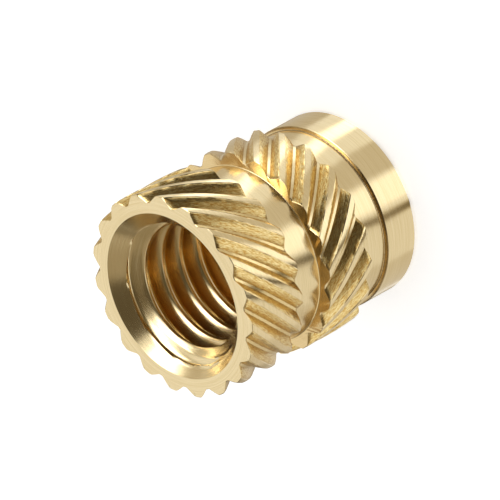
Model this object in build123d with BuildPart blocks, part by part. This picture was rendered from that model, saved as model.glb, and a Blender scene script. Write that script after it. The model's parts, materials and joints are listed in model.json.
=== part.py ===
"""Brass threaded insert, M3, turned from bar with two helical knurl bands of opposite hand.

Millimetres, +Z up. The insert stands on its pilot end, with the middle of that end at the origin
and the countersunk mouth at the top. The thread itself is too fine to model: its bore is the tap
drill's plain hole.
"""

import os
from math import pi, radians, tan

from build123d import *

# Lengths along the axis, from the pilot end up to the mouth
pilot_length = 0.87
rear_neck_length = 0.67
rear_band_length = 1.22
front_neck_length = 0.76
front_band_length = 1.48

# Turned diameters, and the edges left by the turning tools
pilot_diameter = 3.9
pilot_edge_chamfer = 0.1
neck_diameter = 3.72
neck_corner_radius = 0.04

# Knurl: both bands have the same teeth, leaning opposite ways from where each one starts
knurl_diameter = 4.3
knurl_count = 19
knurl_depth = 0.17
crest_width = 0.19
root_width = 0.08
knurl_helix_angle = 44
front_knurl_start_angle = 10.85
rear_knurl_start_angle = 9.4

# Bore: tap drill for the M3 x 0.5 thread, countersunk at the mouth and eased at the pilot end
bore_diameter = 2.5
countersink_diameter = 3.5
countersink_angle = 90
bore_exit_chamfer = 0.25

cut_overrun = 0.5

# Stations along the axis
rear_band_base = pilot_length + rear_neck_length
front_neck_base = rear_band_base + rear_band_length
front_band_base = front_neck_base + front_neck_length
mouth = front_band_base + front_band_length

pilot_radius = pilot_diameter / 2
neck_radius = neck_diameter / 2
knurl_radius = knurl_diameter / 2

# One knurl groove in the band's cross-section, widening from its root out past the crests
root_radius = knurl_radius - knurl_depth
groove_width = pi * knurl_diameter / knurl_count - crest_width
flank_spread = (groove_width - root_width) / knurl_depth
groove_reach = knurl_depth + cut_overrun
groove_outer_width = root_width + flank_spread * groove_reach

# Length of axis along which a tooth would make one full turn
knurl_lead = pi * knurl_diameter / tan(radians(knurl_helix_angle))


with BuildPart() as insert_body:
    # Turned core: the pilot collar with its broken edge, and the neck that runs up inside the bands
    with BuildSketch(Plane.XZ):
        with BuildLine():
            Polyline(
                (0, 0),
                (pilot_radius - pilot_edge_chamfer, 0),
                (pilot_radius, pilot_edge_chamfer),
                (pilot_radius, pilot_length),
                (neck_radius, pilot_length),
                (neck_radius, mouth),
                (0, mouth),
                close=True,
            )
        make_face()
    revolve(axis=Axis.Z)

    # Knurl bands: the toothed section turns as it climbs, right-handed in front, left-handed behind
    for base, length, start_angle, left_handed in (
        (front_band_base, front_band_length, front_knurl_start_angle, False),
        (rear_band_base, rear_band_length, rear_knurl_start_angle, True),
    ):
        with BuildSketch(Plane.XY.offset(base)):
            Circle(knurl_radius)
            with PolarLocations(root_radius, knurl_count, start_angle):
                Polygon(
                    (0, -root_width / 2),
                    (groove_reach, -groove_outer_width / 2),
                    (groove_reach, groove_outer_width / 2),
                    (0, root_width / 2),
                    align=None,
                    mode=Mode.SUBTRACT,
                )
        climb = Line((0, 0, base), (0, 0, base + length), mode=Mode.PRIVATE)
        tooth_path = Helix(
            pitch=knurl_lead,
            height=length,
            radius=knurl_radius,
            center=(0, 0, base),
            lefthand=left_handed,
            mode=Mode.PRIVATE,
        )
        sweep(path=climb, binormal=tooth_path)

    # Corners where the necks meet the collar and the bands keep the grooving tool's nose radius
    neck_circles = insert_body.edges().filter_by(GeomType.CIRCLE).filter_by(
        lambda edge: abs(edge.radius - neck_radius) < neck_corner_radius
    )
    fillet(neck_circles, neck_corner_radius)

    # Tap-drilled bore through the whole insert, countersunk at the mouth and eased at the pilot end
    with Locations((0, 0, mouth)):
        CounterSinkHole(
            radius=bore_diameter / 2,
            counter_sink_radius=countersink_diameter / 2,
            counter_sink_angle=countersink_angle,
        )
    bore_exit = insert_body.faces().sort_by(Axis.Z)[0].inner_wires().edges()
    chamfer(bore_exit, bore_exit_chamfer)

os.makedirs("parts", exist_ok=True)
insert_body.part.label = "insert_body"
export_step(insert_body.part, "parts/insert_body.step")
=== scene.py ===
import json
from math import ceil, cos, pi, radians, sin, tan

import bmesh
import bpy
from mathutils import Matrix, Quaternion, Vector


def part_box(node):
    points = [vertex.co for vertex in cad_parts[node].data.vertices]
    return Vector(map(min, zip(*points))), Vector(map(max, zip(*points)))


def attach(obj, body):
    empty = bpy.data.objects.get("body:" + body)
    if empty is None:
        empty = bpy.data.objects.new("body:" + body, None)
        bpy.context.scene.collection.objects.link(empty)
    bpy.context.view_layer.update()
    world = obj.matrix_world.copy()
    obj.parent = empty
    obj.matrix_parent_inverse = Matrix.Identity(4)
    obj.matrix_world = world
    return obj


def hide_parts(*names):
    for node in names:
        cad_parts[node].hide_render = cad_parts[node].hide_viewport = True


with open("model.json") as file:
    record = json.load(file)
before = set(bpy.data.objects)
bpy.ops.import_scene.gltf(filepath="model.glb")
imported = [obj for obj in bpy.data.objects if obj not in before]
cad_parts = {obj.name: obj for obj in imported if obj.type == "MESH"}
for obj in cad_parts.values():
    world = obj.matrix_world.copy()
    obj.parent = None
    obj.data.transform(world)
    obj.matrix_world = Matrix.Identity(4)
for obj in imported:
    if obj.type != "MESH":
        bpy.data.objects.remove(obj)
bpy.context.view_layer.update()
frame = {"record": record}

# Insert body: one small bush of free-cutting brass, turned from bar on an automatic lathe.
# Knurling wheels roll the two bands of slanting teeth, a grooving tool cuts the necks, and a tap
# cuts the thread through the bore from its countersunk mouth.

mm = 0.001
highest_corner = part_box("insert_body")[1]
mount_sizes = {mount["name"]: mount["dims"] for mount in frame["record"]["mounts"]}

# Stations along the axis in millimetres, from the pilot end up to the mouth
mouth = highest_corner.z / mm
front_band_base = 3.52
rear_band_top = 2.76
rear_band_base = mouth - mount_sizes["knurl"]["length_mm"]
pilot_top = 0.87
between_bands = (front_band_base + rear_band_top) / 2

# Turned radii, and the edges that the turning tools leave
knurl_radius = highest_corner.x / mm
neck_radius = 1.86
pilot_radius = mount_sizes["pilot"]["r_mm"]
pilot_chamfer = pilot_top - mount_sizes["pilot"]["length_mm"]
neck_corner = 0.025
broken_edge = 0.014

# Teeth of the knurl, and how far round the first groove of each band starts at its lower end
teeth = 19
tooth_depth = 0.17
crest_width = 0.19
root_width = 0.08
tooth_lean = tan(radians(44)) / knurl_radius
front_groove_start = radians(10.85)
rear_groove_start = radians(9.4)
crest_rounding = 0.018
root_floor_share = 0.7
band_rows = 24

# Nicks that rolling and facing leave on the edges: their depth and width, and each edge's share
burr_depth = 0.028
burr_width = 0.07
crest_edge_burr = 1
beside_edge_burr = 0.4
mouth_burr = 0.4
neck_burr = 0.7

# How rough the wheels leave the grooves' floors, and how much brown and warm painted shade lies in the
# corners, as shares
front_rolled_root = 0.5
rear_rolled_root = 0
root_painted_shade = 0.35
wall_painted_shade = 0.4
collar_painted_shade = 0.75
wall_warm_shade = 0.3

# Thread M3 x 0.5, right-handed, with its countersink and the cone at the pilot end, and the eased
# edge and fine lip where it runs out into them
thread_pitch = 0.5
thread_crest_radius = 1.27
thread_root_radius = 1.56
thread_groove_phase = 0.393
thread_root_flat = 0.03
thread_crest_flat = 0.04
thread_rows = 24
thread_turns = ceil(mouth / thread_pitch) + 1
countersink_radius = 1.75
exit_radius = 1.6
eased_edge = 0.03
lip_height = 0.02
lip_width = 0.03

# Painted warm shade lies in the groove from its middle out to a soft edge, in shares of the pitch
full_warm_shade = 0.12
warm_shade_edge = 0.34
half_turn = 0.5
first_warm_shade_crest = (mouth / 2 / thread_pitch - thread_groove_phase) // 1 - half_turn

# Points nearer than this are one point, and edges sharper than this are shaded as edges
weld_distance = 0.0004
crisp_angle = radians(30)

# Outline of half a tooth from the middle of its crest over the rounded edge and the flank to the
# middle of the groove's root, as (angle from the root's middle, radius, share of burr)
tooth_angle = 2 * pi / teeth
root_radius = knurl_radius - tooth_depth
edge_angle = tooth_angle / 2 - crest_width / 2 / knurl_radius
root_angle = root_width / 2 / root_radius
flank_direction = Vector((root_angle - edge_angle, root_radius - knurl_radius))
crest_edge = Vector((edge_angle, knurl_radius))
edge_start = crest_edge + Vector((crest_rounding / knurl_radius, 0))
edge_end = crest_edge + flank_direction * crest_rounding / tooth_depth
edge_middle = edge_start.lerp(edge_end, 1 / 2).lerp(crest_edge, 1 / 2)
flank_middle = crest_edge + flank_direction / 2
half_outline = [
    (tooth_angle / 2, knurl_radius, 0),
    (*edge_start, beside_edge_burr),
    (*edge_middle, crest_edge_burr),
    (*edge_end, beside_edge_burr),
    (*flank_middle, 0),
    (root_angle, root_radius, 0),
    (root_angle * root_floor_share, root_radius, 0),
    (0, root_radius, 0),
]
outline = [(-angle, radius, burr) for angle, radius, burr in half_outline]
outline += half_outline[-2::-1]
columns_per_tooth = len(outline) - 1
column_step = tooth_angle / columns_per_tooth

# The outside is drawn as a strip one tooth wide, from the middle of one crest to the middle of the
# next, that runs from the countersink's rim over the mouth face and down to the pilot end
strip_points = []
strip_flank = []
strip_burr = []
strip_painted_shade = []
strip_warm_shade = []


def plain_ring(height, radius, turn, painted_shade=0, warm_shade=0):
    """Adds a row of the strip that lies on a plain turned circle."""
    for column in range(columns_per_tooth + 1):
        angle = turn - tooth_angle / 2 + column * column_step
        strip_points.append((radius * cos(angle) * mm, radius * sin(angle) * mm, height * mm))
        strip_flank.append(0)
        strip_burr.append(0)
        strip_painted_shade.append(painted_shade)
        strip_warm_shade.append(warm_shade)


def toothed_ring(height, inset, turn, end_burr, rolled_flank, rolled_root, warm_shade=0):
    """Adds a row that follows the tooth outline; what isn't rolled rough is as smooth as turning."""
    for angle, radius, edge_burr in outline:
        reach = radius - inset
        strip_points.append(
            (reach * cos(turn + angle) * mm, reach * sin(turn + angle) * mm, height * mm)
        )
        on_root = abs(angle) < root_angle
        rolled = rolled_root if on_root else rolled_flank
        off_crest = min(1, (knurl_radius - radius) / crest_rounding)
        # Painted shade darkens the corner at the root's edge and the walls beside a neck
        in_corner = root_painted_shade * rolled_flank if abs(angle) == root_angle else 0
        beside_neck = end_burr == neck_burr
        at_neck = wall_painted_shade * rolled_flank * off_crest if beside_neck else 0
        strip_flank.append(rolled * off_crest)
        strip_burr.append(max(end_burr, edge_burr))
        strip_painted_shade.append(max(in_corner, at_neck))
        strip_warm_shade.append(warm_shade)


def toothed_band(top, base, turn_at_base, lean, top_burr, top_warm_shade, rolled_root):
    """Adds the rows of a whole knurl band, downwards, with its end edges broken."""
    turn_at_top = turn_at_base + lean * (top - base)
    # The end walls that face a neck carry painted warm shade
    toothed_ring(
        top, broken_edge, turn_at_top, top_burr, rolled_flank=0, rolled_root=0, warm_shade=top_warm_shade
    )
    for row in range(band_rows + 1):
        height = top - broken_edge - (top - base - 2 * broken_edge) * row / band_rows
        end_burr = {0: top_burr, band_rows: neck_burr}.get(row, 0)
        turn = turn_at_base + lean * (height - base)
        toothed_ring(height, 0, turn, end_burr, rolled_flank=1, rolled_root=rolled_root)
    toothed_ring(
        base, broken_edge, turn_at_base, neck_burr, rolled_flank=0, rolled_root=0, warm_shade=wall_warm_shade
    )


def on_columns(turn):
    """The turn moved to the nearest column, so that a rim meets the bore's own points."""
    return round(turn / column_step) * column_step


wall_above = 1
wall_below = -1


def corner_rings(height, facing, turn, outwards, painted_shade=1):
    """Adds the small hollow corner where a neck meets a wall above or below it."""
    quarter_steps = 4
    steps = [radians(90) * step / quarter_steps for step in range(quarter_steps + 1)]
    if outwards:
        steps.reverse()
    for step in steps:
        plain_ring(
            height - facing * neck_corner * (1 - sin(step)),
            neck_radius + neck_corner * (1 - cos(step)),
            turn,
            # painted shade, darkest in the middle of the hollow corner
            painted_shade * sin(2 * step),
            # painted warm shade, strongest where the corner meets the wall
            wall_warm_shade * (1 - cos(step)),
        )


front_turn_at_mouth = front_groove_start + tooth_lean * (mouth - front_band_base)
rear_twist = tooth_lean * (rear_band_top - rear_band_base)
teeth_between = round((front_groove_start + rear_twist - rear_groove_start) / tooth_angle)
rear_turn_at_base = rear_groove_start + teeth_between * tooth_angle

# Mouth face, front band and front neck
plain_ring(mouth, countersink_radius, on_columns(front_turn_at_mouth))
plain_ring(mouth, (countersink_radius + root_radius) / 2, front_turn_at_mouth)
toothed_band(
    mouth,
    front_band_base,
    front_groove_start,
    tooth_lean,
    top_burr=mouth_burr,
    top_warm_shade=0,
    rolled_root=front_rolled_root,
)
corner_rings(front_band_base, wall_above, front_groove_start, outwards=True)
plain_ring(between_bands, neck_radius, front_groove_start)
corner_rings(rear_band_top, wall_below, front_groove_start, outwards=False, painted_shade=0)

# Rear band, rear neck, pilot collar and pilot end
toothed_band(
    rear_band_top,
    rear_band_base,
    rear_turn_at_base,
    -tooth_lean,
    top_burr=neck_burr,
    top_warm_shade=wall_warm_shade,
    rolled_root=rear_rolled_root,
)
corner_rings(rear_band_base, wall_above, rear_turn_at_base, outwards=True)
plain_ring((rear_band_base + pilot_top) / 2, neck_radius, rear_turn_at_base)
corner_rings(pilot_top, wall_below, rear_turn_at_base, outwards=False)
# Painted shade on the collar's top edge beside the rear neck's corner
plain_ring(pilot_top, pilot_radius - broken_edge, rear_turn_at_base, collar_painted_shade)
plain_ring(pilot_top - broken_edge, pilot_radius, rear_turn_at_base)
plain_ring(pilot_top / 2, pilot_radius, rear_turn_at_base)
plain_ring(pilot_chamfer, pilot_radius, rear_turn_at_base)
plain_ring(0, pilot_radius - pilot_chamfer, rear_turn_at_base)
plain_ring(0, exit_radius, on_columns(rear_turn_at_base))

strip_width = columns_per_tooth + 1
strip_rows = len(strip_points) // strip_width
strip_faces = [
    (
        row * strip_width + column,
        (row + 1) * strip_width + column,
        (row + 1) * strip_width + column + 1,
        row * strip_width + column + 1,
    )
    for row in range(strip_rows - 1)
    for column in range(columns_per_tooth)
]
tooth_strip = bpy.data.meshes.new("insert_body_strip")
tooth_strip.from_pydata(strip_points, [], strip_faces)
strip_layers = {
    "tooth_flank": strip_flank,
    "burr": strip_burr,
    "painted_shade": strip_painted_shade,
    "warm_shade": strip_warm_shade,
}
for name, values in strip_layers.items():
    layer = tooth_strip.attributes.new(name, "FLOAT", "POINT")
    layer.data.foreach_set("value", values)


def hex_to_linear(code):
    """Linear RGBA of an sRGB hex colour."""
    channels = [int(code[start:start + 2], 16) / 255 for start in (1, 3, 5)]
    return [c / 12.92 if c <= 0.04045 else ((c + 0.055) / 1.055) ** 2.4 for c in channels] + [1]


def add_node(tree, kind, inputs=(), **settings):
    """Adds a node; each input is a value, a socket, or a node whose first live output feeds it."""
    node = tree.nodes.new(kind)
    for name, value in settings.items():
        setattr(node, name, value)
    for key, value in dict(inputs).items():
        if isinstance(value, bpy.types.Node):
            value = next(socket for socket in value.outputs if socket.enabled)
        if isinstance(value, bpy.types.NodeSocket):
            tree.links.new(value, node.inputs[key])
        else:
            node.inputs[key].default_value = value
    return node


# Turned free-cutting brass: a pale yellow mirror, dulled by fine lathe rings on the turned faces. The
# knurling wheels leave the tooth flanks torn along the teeth, duller and more golden. Painted warm
# shade makes the thread's grooves a deeper gold, and a little of it lies on the walls at the necks.
brass = bpy.data.materials.new("Turned brass")
brass.use_nodes = True
surface = brass.node_tree
surface.nodes.clear()

# Lathe rings run round the axis; they are drawn coarser than the real feed marks so that they show
ring_width = 0.02
ring_length = 1.2
ring_depth = 0.0012
ring_layers = 4
ring_fineness = 0.65
place = add_node(surface, "ShaderNodeTexCoord").outputs["Object"]
place_parts = add_node(surface, "ShaderNodeSeparateXYZ", {0: place}).outputs
flat_place = add_node(surface, "ShaderNodeVectorMath", {0: place, 1: (1, 1, 0)}, operation="MULTIPLY")
axis_distance = add_node(surface, "ShaderNodeVectorMath", {0: flat_place}, operation="LENGTH")
along_profile = add_node(
    surface, "ShaderNodeMath", {0: place_parts["Z"], 1: axis_distance}, operation="ADD"
)
ring_place = add_node(
    surface,
    "ShaderNodeCombineXYZ",
    {"X": place_parts["X"], "Y": place_parts["Y"], "Z": along_profile},
)
ring_scale = add_node(
    surface,
    "ShaderNodeVectorMath",
    {0: ring_place, 1: (1 / (ring_length * mm), 1 / (ring_length * mm), 1 / (ring_width * mm))},
    operation="MULTIPLY",
)
rings = add_node(
    surface,
    "ShaderNodeTexNoise",
    {"Vector": ring_scale, "Scale": 1, "Detail": ring_layers, "Roughness": ring_fineness},
)
ring_height = add_node(surface, "ShaderNodeMath", {0: rings, 1: ring_depth * mm}, operation="MULTIPLY")

# Torn streaks run along the teeth, which lean one way in the front band and the other in the rear
streak_width = 0.018
streak_length = 0.07
streak_depth = 0.0014
streak_layers = 3
streak_fineness = 0.6
bearing_angle = add_node(
    surface, "ShaderNodeMath", {0: place_parts["Y"], 1: place_parts["X"]}, operation="ARCTAN2"
)
in_front_band = add_node(
    surface, "ShaderNodeMath", {0: place_parts["Z"], 1: between_bands * mm}, operation="GREATER_THAN"
)
unwinding = add_node(
    surface,
    "ShaderNodeMapRange",
    {"Value": in_front_band, "To Min": tooth_lean / mm, "To Max": -tooth_lean / mm},
)
across_teeth = add_node(
    surface,
    "ShaderNodeMath",
    {0: place_parts["Z"], 1: unwinding, 2: bearing_angle},
    operation="MULTIPLY_ADD",
)
streak_place = add_node(
    surface,
    "ShaderNodeCombineXYZ",
    {"X": across_teeth, "Y": place_parts["Z"], "Z": axis_distance},
)
streak_scale = add_node(
    surface,
    "ShaderNodeVectorMath",
    {
        0: streak_place,
        1: (knurl_radius / streak_width, 1 / (streak_length * mm), 1 / (streak_width * mm)),
    },
    operation="MULTIPLY",
)
streaks = add_node(
    surface,
    "ShaderNodeTexNoise",
    {"Vector": streak_scale, "Scale": 1, "Detail": streak_layers, "Roughness": streak_fineness},
)
streak_height = add_node(
    surface, "ShaderNodeMath", {0: streaks, 1: streak_depth * mm}, operation="MULTIPLY"
)

flank = add_node(surface, "ShaderNodeAttribute", attribute_name="tooth_flank").outputs["Fac"]
surface_height = add_node(
    surface, "ShaderNodeMix", {"Factor": flank, "A": ring_height, "B": streak_height}
)
relief = add_node(
    surface, "ShaderNodeBump", {"Height": surface_height, "Strength": 1, "Distance": 1}
)
turned_roughness = 0.2
torn_roughness = 0.24
roughness = add_node(
    surface,
    "ShaderNodeMapRange",
    {"Value": flank, "To Min": turned_roughness, "To Max": torn_roughness},
)

# Each tone runs from its dark to its pale colour between two levels of its own marks
torn_dark = "#CFA24D"
torn_pale = "#F6E2A5"
streak_low = 0.36
streak_high = 0.62
turned_dark = "#E8D2A1"
turned_pale = "#F1DEB1"
ring_low = 0.35
ring_high = 0.65
warm_shade_gold = "#DEB260"
streak_contrast = add_node(
    surface,
    "ShaderNodeMapRange",
    {"Value": streaks, "From Min": streak_low, "From Max": streak_high},
)
flank_tone = add_node(
    surface,
    "ShaderNodeMix",
    {"Factor": streak_contrast, "A": hex_to_linear(torn_dark), "B": hex_to_linear(torn_pale)},
    data_type="RGBA",
)
ring_contrast = add_node(
    surface, "ShaderNodeMapRange", {"Value": rings, "From Min": ring_low, "From Max": ring_high}
)
turned_tone = add_node(
    surface,
    "ShaderNodeMix",
    {"Factor": ring_contrast, "A": hex_to_linear(turned_dark), "B": hex_to_linear(turned_pale)},
    data_type="RGBA",
)
# Painted warm shade turns the thread's grooves and the walls at the necks a deeper gold
warm_shade = add_node(surface, "ShaderNodeAttribute", attribute_name="warm_shade").outputs["Fac"]
cut_tone = add_node(
    surface,
    "ShaderNodeMix",
    {"Factor": warm_shade, "A": turned_tone, "B": hex_to_linear(warm_shade_gold)},
    data_type="RGBA",
)
tone = add_node(
    surface, "ShaderNodeMix", {"Factor": flank, "A": cut_tone, "B": flank_tone}, data_type="RGBA"
)

# Painted shade: brown painted into the corners that the tools leave, where shade falls, in uneven
# patches, darkest where the streaks are low
painted_shade_brown = "#6E4F26"
deepest_shade_at = 0.3
faintest_shade_at = 0.55
deepest_shade_cover = 1.2
faintest_shade_cover = 0.6
painted_shade = add_node(surface, "ShaderNodeAttribute", attribute_name="painted_shade").outputs["Fac"]
patchy = add_node(
    surface,
    "ShaderNodeMapRange",
    {
        "Value": streaks,
        "From Min": deepest_shade_at,
        "From Max": faintest_shade_at,
        "To Min": deepest_shade_cover,
        "To Max": faintest_shade_cover,
    },
)
painted_shade_cover = add_node(
    surface, "ShaderNodeMath", {0: painted_shade, 1: patchy}, operation="MULTIPLY", use_clamp=True
)
shaded_tone = add_node(
    surface,
    "ShaderNodeMix",
    {"Factor": painted_shade_cover, "A": tone, "B": hex_to_linear(painted_shade_brown)},
    data_type="RGBA",
)
shine = add_node(
    surface,
    "ShaderNodeBsdfPrincipled",
    {"Base Color": shaded_tone, "Metallic": 1, "Roughness": roughness, "Normal": relief},
)
add_node(surface, "ShaderNodeOutputMaterial", {"Surface": shine})

# Geometry Nodes set the strip round the axis, roll up the threaded bore, join both and nick the edges
tree = bpy.data.node_groups.new("Knurl and tap", "GeometryNodeTree")
tree.interface.new_socket("Tooth strip", in_out="INPUT", socket_type="NodeSocketGeometry")
tree.interface.new_socket("Insert", in_out="OUTPUT", socket_type="NodeSocketGeometry")
tree_sizes = {
    "Teeth": teeth,
    "Points round the bore": teeth * columns_per_tooth + 1,
    "Points up the bore": thread_rows * thread_turns + 1,
    "Thread turns": float(thread_turns),
    "Pitch": thread_pitch * mm,
    "Groove phase": thread_groove_phase,
    "Root flat": thread_root_flat,
    "Crest flat": thread_crest_flat,
    "First warm shade crest": first_warm_shade_crest,
    "Full warm shade": full_warm_shade,
    "Warm shade edge": warm_shade_edge,
    "Crest radius": thread_crest_radius * mm,
    "Root radius": thread_root_radius * mm,
    "Middle height": mouth / 2 * mm,
    "Mouth height": mouth * mm,
    "Countersink radius": countersink_radius * mm,
    "Exit radius": exit_radius * mm,
    "Eased edge": eased_edge * mm,
    "Lip height": lip_height * mm,
    "Lip width": lip_width * mm,
    "Burr depth": burr_depth * mm,
    "Burr width": burr_width * mm,
    "Weld distance": weld_distance * mm,
    "Crisp angle": crisp_angle,
}
for name, value in tree_sizes.items():
    kind = "NodeSocketInt" if isinstance(value, int) else "NodeSocketFloat"
    tree.interface.new_socket(name, in_out="INPUT", socket_type=kind)
given = add_node(tree, "NodeGroupInput").outputs

one_tooth = add_node(tree, "ShaderNodeMath", {0: 2 * pi, 1: given["Teeth"]}, operation="DIVIDE")
tooth_number = add_node(tree, "GeometryNodeInputIndex")
spin = add_node(tree, "ShaderNodeMath", {0: tooth_number, 1: one_tooth}, operation="MULTIPLY")
spin_vector = add_node(tree, "ShaderNodeCombineXYZ", {"Z": spin})
ring_of_teeth = add_node(
    tree,
    "GeometryNodeInstanceOnPoints",
    {
        "Points": add_node(tree, "GeometryNodePoints", {"Count": given["Teeth"]}),
        "Instance": given["Tooth strip"],
        "Rotation": add_node(tree, "FunctionNodeEulerToRotation", {0: spin_vector}),
    },
)

# The bore is a flat grid, one turn wide and a turn high for each turn of thread, rolled to a helix
grid = add_node(
    tree,
    "GeometryNodeMeshGrid",
    {
        "Size X": 1,
        "Size Y": given["Thread turns"],
        "Vertices X": given["Points round the bore"],
        "Vertices Y": given["Points up the bore"],
    },
)
grid_place = add_node(tree, "GeometryNodeInputPosition")
round_and_up = add_node(tree, "ShaderNodeSeparateXYZ", {0: grid_place}).outputs
climbed = add_node(
    tree, "ShaderNodeMath", {0: round_and_up["X"], 1: round_and_up["Y"]}, operation="ADD"
)
free_height = add_node(
    tree,
    "ShaderNodeMath",
    {0: climbed, 1: given["Pitch"], 2: given["Middle height"]},
    operation="MULTIPLY_ADD",
)
bore_height = add_node(
    tree, "ShaderNodeClamp", {"Value": free_height, "Min": 0, "Max": given["Mouth height"]}
)
groove_offset = add_node(
    tree, "ShaderNodeMath", {0: round_and_up["Y"], 1: given["Groove phase"]}, operation="SUBTRACT"
)
from_groove = add_node(
    tree, "ShaderNodeMath", {0: groove_offset, 1: half_turn}, operation="PINGPONG"
)
crest_start = add_node(
    tree, "ShaderNodeMath", {0: half_turn, 1: given["Crest flat"]}, operation="SUBTRACT"
)
thread_radius = add_node(
    tree,
    "ShaderNodeMapRange",
    {
        "Value": from_groove,
        "From Min": given["Root flat"],
        "From Max": crest_start,
        "To Min": given["Root radius"],
        "To Max": given["Crest radius"],
    },
    interpolation_type="SMOOTHSTEP",
)
below_mouth = add_node(
    tree, "ShaderNodeMath", {0: given["Mouth height"], 1: bore_height}, operation="SUBTRACT"
)
countersink = add_node(
    tree, "ShaderNodeMath", {0: given["Countersink radius"], 1: below_mouth}, operation="SUBTRACT"
)
eased_exit = add_node(
    tree, "ShaderNodeMath", {0: given["Exit radius"], 1: bore_height}, operation="SUBTRACT"
)
end_cones = add_node(tree, "ShaderNodeMath", {0: countersink, 1: eased_exit}, operation="MAXIMUM")
bore_radius = add_node(
    tree,
    "ShaderNodeMath",
    {0: thread_radius, 1: end_cones, 2: given["Eased edge"]},
    operation="SMOOTH_MAX",
)

# The tap raises a fine lip where its groove runs out into the countersink
lip_here = add_node(
    tree,
    "ShaderNodeMapRange",
    {
        "Value": thread_radius,
        "From Min": given["Crest radius"],
        "From Max": given["Root radius"],
        "To Min": 0,
        "To Max": given["Lip height"],
    },
    interpolation_type="SMOOTHERSTEP",
)
edge_gap = add_node(
    tree, "ShaderNodeMath", {0: thread_radius, 1: countersink}, operation="SUBTRACT"
)
edge_distance = add_node(tree, "ShaderNodeMath", {0: edge_gap}, operation="ABSOLUTE")
lip = add_node(
    tree,
    "ShaderNodeMapRange",
    {
        "Value": edge_distance,
        "From Max": given["Lip width"],
        "To Min": lip_here,
        "To Max": 0,
    },
    interpolation_type="SMOOTHSTEP",
)
lipped_radius = add_node(tree, "ShaderNodeMath", {0: bore_radius, 1: lip}, operation="SUBTRACT")

bore_angle = add_node(
    tree, "ShaderNodeMath", {0: round_and_up["X"], 1: 2 * pi, 2: pi}, operation="MULTIPLY_ADD"
)
bore_profile = add_node(tree, "ShaderNodeCombineXYZ", {"X": lipped_radius, "Z": bore_height})
bore_place = add_node(
    tree,
    "ShaderNodeVectorRotate",
    {"Vector": bore_profile, "Angle": bore_angle},
    rotation_type="Z_AXIS",
)

# Painted warm shade lies at the bottom of the groove, from the second turn down
warm_shade_in_groove = add_node(
    tree,
    "ShaderNodeMapRange",
    {
        "Value": from_groove,
        "From Min": given["Full warm shade"],
        "From Max": given["Warm shade edge"],
        "To Min": 1,
        "To Max": 0,
    },
)
second_turn = add_node(
    tree, "ShaderNodeMath", {0: groove_offset, 1: given["First warm shade crest"]}, operation="LESS_THAN"
)
is_thread = add_node(
    tree, "ShaderNodeMath", {0: thread_radius, 1: end_cones}, operation="GREATER_THAN"
)
warm_shade_turns = add_node(tree, "ShaderNodeMath", {0: second_turn, 1: is_thread}, operation="MULTIPLY")
warm_shade_share = add_node(tree, "ShaderNodeMath", {0: warm_shade_in_groove, 1: warm_shade_turns}, operation="MULTIPLY")
warm_shaded_grid = add_node(
    tree,
    "GeometryNodeStoreNamedAttribute",
    {"Geometry": grid, "Name": "warm_shade", "Value": warm_shade_share},
    data_type="FLOAT",
    domain="POINT",
)
bore = add_node(tree, "GeometryNodeSetPosition", {"Geometry": warm_shaded_grid, "Position": bore_place})
bore_facing_axis = add_node(tree, "GeometryNodeFlipFaces", {0: bore})

joined = add_node(tree, "GeometryNodeJoinGeometry", {0: bore_facing_axis})
tree.links.new(ring_of_teeth.outputs[0], joined.inputs[0])
solid = add_node(tree, "GeometryNodeRealizeInstances", {0: joined})
welded = add_node(
    tree, "GeometryNodeMergeByDistance", {"Geometry": solid, "Distance": given["Weld distance"]}
)

# Nicks along the tooth edges, cut inwards by a fixed noise with one finer layer
nick_layers = 1
inwards = -1
burr = add_node(tree, "GeometryNodeInputNamedAttribute", {"Name": "burr"}, data_type="FLOAT")
nick_scale = add_node(tree, "ShaderNodeMath", {0: 1, 1: given["Burr width"]}, operation="DIVIDE")
nick = add_node(tree, "ShaderNodeTexNoise", {"Scale": nick_scale, "Detail": nick_layers})
nick_share = add_node(tree, "ShaderNodeMath", {0: nick, 1: burr}, operation="MULTIPLY")
nick_depth = add_node(
    tree, "ShaderNodeMath", {0: nick_share, 1: given["Burr depth"]}, operation="MULTIPLY"
)
facing_out = add_node(tree, "GeometryNodeInputNormal")
nick_reach = add_node(
    tree, "ShaderNodeVectorMath", {0: facing_out, "Scale": nick_depth}, operation="SCALE"
)
nick_move = add_node(
    tree, "ShaderNodeVectorMath", {0: nick_reach, "Scale": inwards}, operation="SCALE"
)
nicked = add_node(tree, "GeometryNodeSetPosition", {"Geometry": welded, "Offset": nick_move})

smooth = add_node(tree, "GeometryNodeSetShadeSmooth", {"Geometry": nicked}, domain="FACE")
edge_angles = add_node(tree, "GeometryNodeInputMeshEdgeAngle")
crisp_edge = add_node(
    tree,
    "FunctionNodeCompare",
    {0: edge_angles, 1: given["Crisp angle"]},
    data_type="FLOAT",
    operation="GREATER_THAN",
)
crisp = add_node(
    tree,
    "GeometryNodeSetShadeSmooth",
    {"Geometry": smooth, "Selection": crisp_edge, "Shade Smooth": False},
    domain="EDGE",
)
finished = add_node(tree, "GeometryNodeSetMaterial", {"Geometry": crisp, "Material": brass})
add_node(tree, "NodeGroupOutput", {0: finished})

strip_object = bpy.data.objects.new("insert_body_strip", tooth_strip)
bpy.context.scene.collection.objects.link(strip_object)
knurl_and_tap = strip_object.modifiers.new("Knurl and tap", "NODES")
knurl_and_tap.node_group = tree
for item in tree.interface.items_tree:
    if item.in_out == "INPUT" and item.name in tree_sizes:
        knurl_and_tap[item.identifier] = tree_sizes[item.name]
evaluated = strip_object.evaluated_get(bpy.context.evaluated_depsgraph_get())
insert_mesh = bpy.data.meshes.new_from_object(evaluated)
bpy.data.objects.remove(strip_object)

whole = bmesh.new()
whole.from_mesh(insert_mesh)
bmesh.ops.recalc_face_normals(whole, faces=whole.faces)
whole.to_mesh(insert_mesh)
whole.free()

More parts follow.
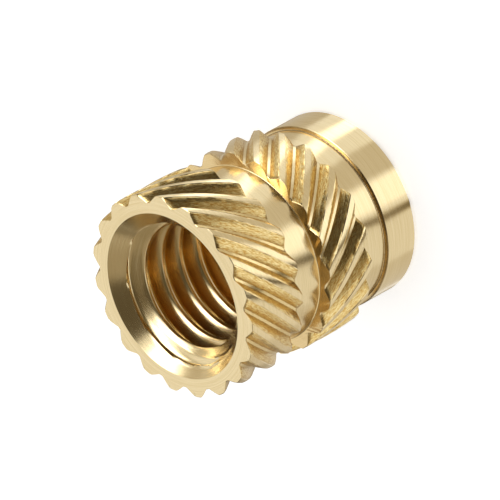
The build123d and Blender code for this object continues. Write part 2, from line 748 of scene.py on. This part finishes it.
insert = bpy.data.objects.new("insert_visual", insert_mesh)
bpy.context.scene.collection.objects.link(insert)
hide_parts("insert_body")
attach(insert, "root")

# Floor: a plain white table top that the insert stands on. The camera sees it white, with the
# insert's soft shadow, and the brass sees it white too, with cards painted into its reflected glow
# round the insert.
floor_size = 0.4
table_white = "#F2F2F2"
white_glow = 0.48

# Painted reflections: cards that glow in the floor for reflected rays only, by bearing and half width
# in degrees and by level, where 1 is white, and some also by the nearest and farthest reach from the
# axis in millimetres. Their soft edge is in the same measures, and dim light has a warm tint.
white_level = 1
white_light = (1, 1, 1, 1)
dim_light = "#FFE4AD"
card_edge = 7
painted_table_cards = {
    "pale card on the right": (-72, 24, 0.88),
    "grey card on the right": (-126, 24, 0.7),
    "white card in front": (-11, 12, 1.4),
    "black flag": (-39, 1, 0.26),
    "far end of the flag": (-38, 2, 0.06, 8, 60),
    "grey card on the left": (28, 16, 0.68),
    "strip light": (84, 6, 2.2),
    "grey card far on the left": (80, 14, 0.45, 40, 200),
    "grey card behind": (155, 35, 0.6),
    "dark card behind": (-178, 10, 0.35),
    "dark card far behind": (-162, 20, 0.32, 9, 60),
}
bpy.ops.mesh.primitive_plane_add(size=floor_size)
floor = bpy.context.object
floor.name = "floor"
white_table = bpy.data.materials.new("White table")
white_table.use_nodes = True
table = white_table.node_tree
table.nodes.clear()


def lay_card(tree, below, reach, level):
    """Lays a soft-edged card over a level of light; reach holds (measured angle, middle, half) rows."""
    cover = 1
    for measured, middle, half in reach:
        offset = add_node(
            tree, "ShaderNodeMath", {0: measured, 1: radians(middle)}, operation="SUBTRACT"
        )
        turned = add_node(tree, "ShaderNodeMath", {0: offset, 1: pi, 2: -pi}, operation="WRAP")
        distance = add_node(tree, "ShaderNodeMath", {0: turned}, operation="ABSOLUTE")
        fade = add_node(
            tree,
            "ShaderNodeMapRange",
            {
                "Value": distance,
                "From Min": radians(half),
                "From Max": radians(half + card_edge),
                "To Min": 1,
                "To Max": 0,
            },
            interpolation_type="SMOOTHSTEP",
        )
        cover = add_node(tree, "ShaderNodeMath", {0: cover, 1: fade}, operation="MULTIPLY")
    return add_node(tree, "ShaderNodeMix", {"Factor": cover, "A": below, "B": level})


table_place = add_node(table, "ShaderNodeTexCoord").outputs["Object"]
table_parts = add_node(table, "ShaderNodeSeparateXYZ", {0: table_place}).outputs
table_bearing = add_node(
    table, "ShaderNodeMath", {0: table_parts["Y"], 1: table_parts["X"]}, operation="ARCTAN2"
)

# The cards fan out from the insert so that each one shows as a straight streak along the barrel. A
# mirrored ray leaves the barrel at twice the angle of its own starting point, and the fan's bearing
# is the direction of the ray that lands on each spot of the table.
table_distance = add_node(table, "ShaderNodeVectorMath", {0: table_place}, operation="LENGTH")
barrel_share = add_node(
    table, "ShaderNodeMath", {0: pilot_radius * mm, 1: table_distance}, operation="DIVIDE"
)
near_share = add_node(table, "ShaderNodeMath", {0: barrel_share, 1: 1}, operation="MINIMUM")
spread = add_node(table, "ShaderNodeMath", {0: 2, 1: near_share}, operation="SUBTRACT")
barrel_angle = add_node(table, "ShaderNodeMath", {0: table_bearing, 1: spread}, operation="DIVIDE")
barrel_sine = add_node(table, "ShaderNodeMath", {0: barrel_angle}, operation="SINE")
fan_sine = add_node(table, "ShaderNodeMath", {0: barrel_sine, 1: near_share}, operation="MULTIPLY")
fan_turn = add_node(table, "ShaderNodeMath", {0: fan_sine}, operation="ARCSINE")
fan_bearing = add_node(table, "ShaderNodeMath", {0: table_bearing, 1: fan_turn}, operation="ADD")

# Reach from the axis is measured as one degree a millimetre, so that a card can end on it too
table_reach = add_node(
    table,
    "ShaderNodeMath",
    {0: table_distance.outputs["Value"], 1: radians(1) / mm},
    operation="MULTIPLY",
)
mirrored_table = white_level
for bearing, half_width, level, *span in painted_table_cards.values():
    reach = [(fan_bearing, bearing, half_width)]
    if span:
        nearest, farthest = span
        reach.append((table_reach, (nearest + farthest) / 2, (farthest - nearest) / 2))
    mirrored_table = lay_card(table, mirrored_table, reach, level)
table_tint = add_node(
    table,
    "ShaderNodeMix",
    {"Factor": mirrored_table, "A": hex_to_linear(dim_light), "B": white_light},
    data_type="RGBA",
)
table_ray = add_node(table, "ShaderNodeLightPath").outputs
seen_plain = add_node(
    table,
    "ShaderNodeMath",
    {0: table_ray["Is Camera Ray"], 1: table_ray["Is Transmission Ray"]},
    operation="MAXIMUM",
)
plain_glow = add_node(table, "ShaderNodeMath", {0: seen_plain, 1: white_glow}, operation="MULTIPLY")
table_paint = add_node(table, "ShaderNodeBsdfDiffuse", {"Color": hex_to_linear(table_white)})
table_glow = add_node(table, "ShaderNodeEmission", {"Strength": plain_glow})
plain_table = add_node(table, "ShaderNodeAddShader", {0: table_paint, 1: table_glow})
# Painted reflection: for reflected rays the floor glows with the cards in place of its plain white
table_in_brass = add_node(
    table, "ShaderNodeEmission", {"Color": table_tint, "Strength": mirrored_table}
)
table_surface = add_node(
    table, "ShaderNodeMixShader", {0: table_ray["Is Glossy Ray"], 1: plain_table, 2: table_in_brass}
)
add_node(table, "ShaderNodeOutputMaterial", {"Surface": table_surface})
floor.data.materials.append(white_table)

# Studio light: a white room that lights the insert evenly from all round. The camera sees it white,
# and the brass sees it white with a softbox, grey walls and the dark end of the room in it.
room_level = 0.75

# Cards by bearing, half width, rise and half height in degrees, and by level
room_cards = {
    "ceiling": (0, 180, 84, 12, 0.2),
    "dark gap on the right": (-135, 15, 9, 10, 0.05),
    "left wall": (122, 35, 16, 32, 0.57),
    "half-lit room in front": (-8, 14, 14, 14, 0.48),
    "dark room in front": (40, 30, 11, 13, 0.06),
    "camera and tripod": (-15, 46, 65, 32, 0.1),
    "right wall": (-92, 27, 37, 18, 0.37),
    "top of the right wall": (-88, 32, 64, 8, 0.2),
    "right card": (-68, 38, 2, 13, 1.1),
    "left softbox": (82, 23, 53, 19, 4),
    "back wall": (180, 50, 40, 25, 0.95),
    "far corner on the right": (-134, 12, 38, 16, 0.3),
}
room = bpy.data.worlds.new("White studio")
bpy.context.scene.world = room
room.use_nodes = True
room_tree = room.node_tree
room_tree.nodes.clear()
direction = add_node(room_tree, "ShaderNodeTexCoord").outputs["Generated"]
direction_parts = add_node(room_tree, "ShaderNodeSeparateXYZ", {0: direction}).outputs
room_bearing = add_node(
    room_tree,
    "ShaderNodeMath",
    {0: direction_parts["Y"], 1: direction_parts["X"]},
    operation="ARCTAN2",
)
room_rise = add_node(room_tree, "ShaderNodeMath", {0: direction_parts["Z"]}, operation="ARCSINE")
mirrored_room = white_level
for bearing, half_width, rise, half_height, level in room_cards.values():
    reach = [(room_bearing, bearing, half_width), (room_rise, rise, half_height)]
    mirrored_room = lay_card(room_tree, mirrored_room, reach, level)
room_ray = add_node(room_tree, "ShaderNodeLightPath").outputs
seen_white = add_node(
    room_tree,
    "ShaderNodeMath",
    {0: room_ray["Is Camera Ray"], 1: room_ray["Is Transmission Ray"]},
    operation="MAXIMUM",
)
plain_room = add_node(
    room_tree, "ShaderNodeMix", {"Factor": seen_white, "A": room_level, "B": white_level}
)
room_strength = add_node(
    room_tree,
    "ShaderNodeMix",
    {"Factor": room_ray["Is Glossy Ray"], "A": plain_room, "B": mirrored_room},
)
room_tint = add_node(
    room_tree,
    "ShaderNodeMix",
    {"Factor": mirrored_room, "A": hex_to_linear(dim_light), "B": white_light},
    data_type="RGBA",
)
room_colour = add_node(
    room_tree,
    "ShaderNodeMix",
    {"Factor": room_ray["Is Glossy Ray"], "A": white_light, "B": room_tint},
    data_type="RGBA",
)
background = add_node(
    room_tree, "ShaderNodeBackground", {"Color": room_colour, "Strength": room_strength}
)
add_node(room_tree, "ShaderNodeOutputWorld", {"Surface": background})

# Camera: a long lens that looks down into the mouth from in front, rolled so that the insert lies
# across the picture with its mouth to the lower left. Its aim is a point inside the insert.
camera_rise = radians(38.93)
camera_roll = radians(-118.80)
camera_distance = 0.17732
camera_aim = Vector((-0.110, 0.064, 2.636)) * mm
focal_length = 648.3
sensor_width = 36
nearest_seen = 0.01
farthest_seen = 2
camera_back = Vector((cos(camera_rise), 0, sin(camera_rise)))
lens = bpy.data.cameras.new("camera")
lens.sensor_width = sensor_width
lens.lens = focal_length
lens.clip_start = nearest_seen
lens.clip_end = farthest_seen
camera = bpy.data.objects.new("camera", lens)
bpy.context.scene.collection.objects.link(camera)
camera.location = camera_aim + camera_back * camera_distance
camera.rotation_mode = "QUATERNION"
camera.rotation_quaternion = camera_back.to_track_quat("Z", "Y") @ Quaternion((0, 0, 1), camera_roll)
bpy.context.scene.camera = camera
bpy.context.scene.view_settings.view_transform = "Standard"
